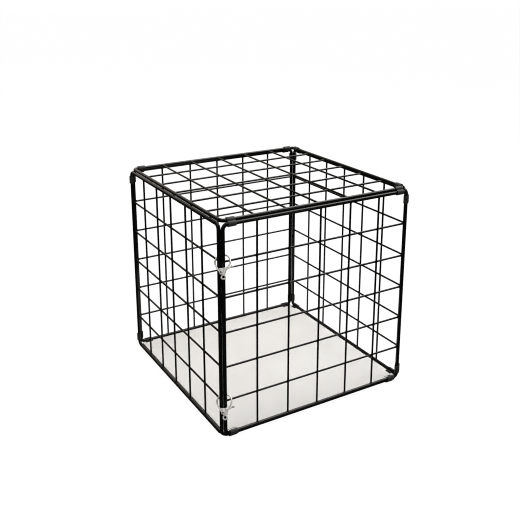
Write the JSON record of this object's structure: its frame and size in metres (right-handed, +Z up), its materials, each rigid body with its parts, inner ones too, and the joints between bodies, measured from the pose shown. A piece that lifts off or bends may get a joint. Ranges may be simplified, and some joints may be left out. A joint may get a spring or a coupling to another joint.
{
  "type": "wire kennel cage",
  "caption": "Cube-shaped wire mesh kennel cage of clipped panels with a hinged side door held by trigger clasps.",
  "frame": {"origin": "centre of the overall box at the level of the surface that the cage stands on", "axes": "+Z up; -Y is the front panel; -X is the side with the door"},
  "size_m": [0.3661, 0.3784, 0.3619],
  "materials": {
    "coated_wire": "black coating, semi-gloss",
    "clip_plastic": "dark grey moulded plastic",
    "clasp_metal": "nickel-plated zinc casting",
    "spring_steel": "bright wire",
    "board": "light warm grey, fine matt grain"
  },
  "bodies": {
    "root": {"front_frame": "coated_wire", "front_upright_wires": "coated_wire", "front_cross_wires": "coated_wire", "back_frame": "coated_wire", "back_upright_wires": "coated_wire", "back_cross_wires": "coated_wire", "right_frame": "coated_wire", "right_upright_wires": "coated_wire", "right_cross_wires": "coated_wire", "top_frame": "coated_wire", "top_upright_wires": "coated_wire", "top_cross_wires": "coated_wire", "bottom_frame": "coated_wire", "bottom_upright_wires": "coated_wire", "bottom_cross_wires": "coated_wire", "clip_top_front_left": "clip_plastic", "clip_top_front_right": "clip_plastic", "clip_top_back_left": "clip_plastic", "clip_top_back_right": "clip_plastic", "clip_top_side_front": "clip_plastic", "clip_top_side_rear": "clip_plastic", "clip_bottom_front_left": "clip_plastic", "clip_bottom_front_right": "clip_plastic", "clip_bottom_back_left": "clip_plastic", "clip_bottom_back_right": "clip_plastic", "clip_bottom_side_front": "clip_plastic", "clip_bottom_side_rear": "clip_plastic", "clip_front_post_lower": "clip_plastic", "clip_front_post_upper": "clip_plastic", "clip_back_post_lower": "clip_plastic", "clip_back_post_upper": "clip_plastic", "clip_door_hinge_lower": "clip_plastic", "clip_door_hinge_upper": "clip_plastic", "floor_board": "board"},
    "door": {"door_frame": "coated_wire", "door_upright_wires": "coated_wire", "door_cross_wires": "coated_wire"},
    "clasp_upper": {"clasp_upper_hook": "clasp_metal", "clasp_upper_rivet": "clasp_metal", "clasp_upper_spring": "spring_steel"},
    "clasp_upper_lever_arm": {"clasp_upper_lever": "clasp_metal"},
    "clasp_lower": {"clasp_lower_hook": "clasp_metal", "clasp_lower_rivet": "clasp_metal", "clasp_lower_spring": "spring_steel"},
    "clasp_lower_lever_arm": {"clasp_lower_lever": "clasp_metal"}
  },
  "joints": [
    {"name": "door_hinge", "type": "hinge", "parent": "root", "child": "door", "pos_m": [-0.17415, 0.18029, 0.18096], "axis": [0, 0, -1], "range_deg": [0, 170]},
    {"name": "clasp_upper_swing", "type": "hinge", "parent": "root", "child": "clasp_upper", "pos_m": [-0.17192, -0.16594, 0.29838], "axis": [-0.7071, 0.7071, 0], "range_deg": [0, 30]},
    {"name": "clasp_upper_trigger", "type": "hinge", "parent": "clasp_upper", "child": "clasp_upper_lever_arm", "pos_m": [-0.17867, -0.17818, 0.28495], "axis": [0.5, 0.5, -0.7071], "range_deg": [0, 22], "stiffness_Nm_per_rad": 0.03, "springref_deg": -34.38},
    {"name": "clasp_lower_swing", "type": "hinge", "parent": "root", "child": "clasp_lower", "pos_m": [-0.17192, -0.16594, 0.06844], "axis": [-0.7071, 0.7071, 0], "range_deg": [0, 30]},
    {"name": "clasp_lower_trigger", "type": "hinge", "parent": "clasp_lower", "child": "clasp_lower_lever_arm", "pos_m": [-0.17902, -0.17783, 0.05501], "axis": [0.5, 0.5, -0.7071], "range_deg": [0, 22], "stiffness_Nm_per_rad": 0.03, "springref_deg": -34.38}
  ]
}
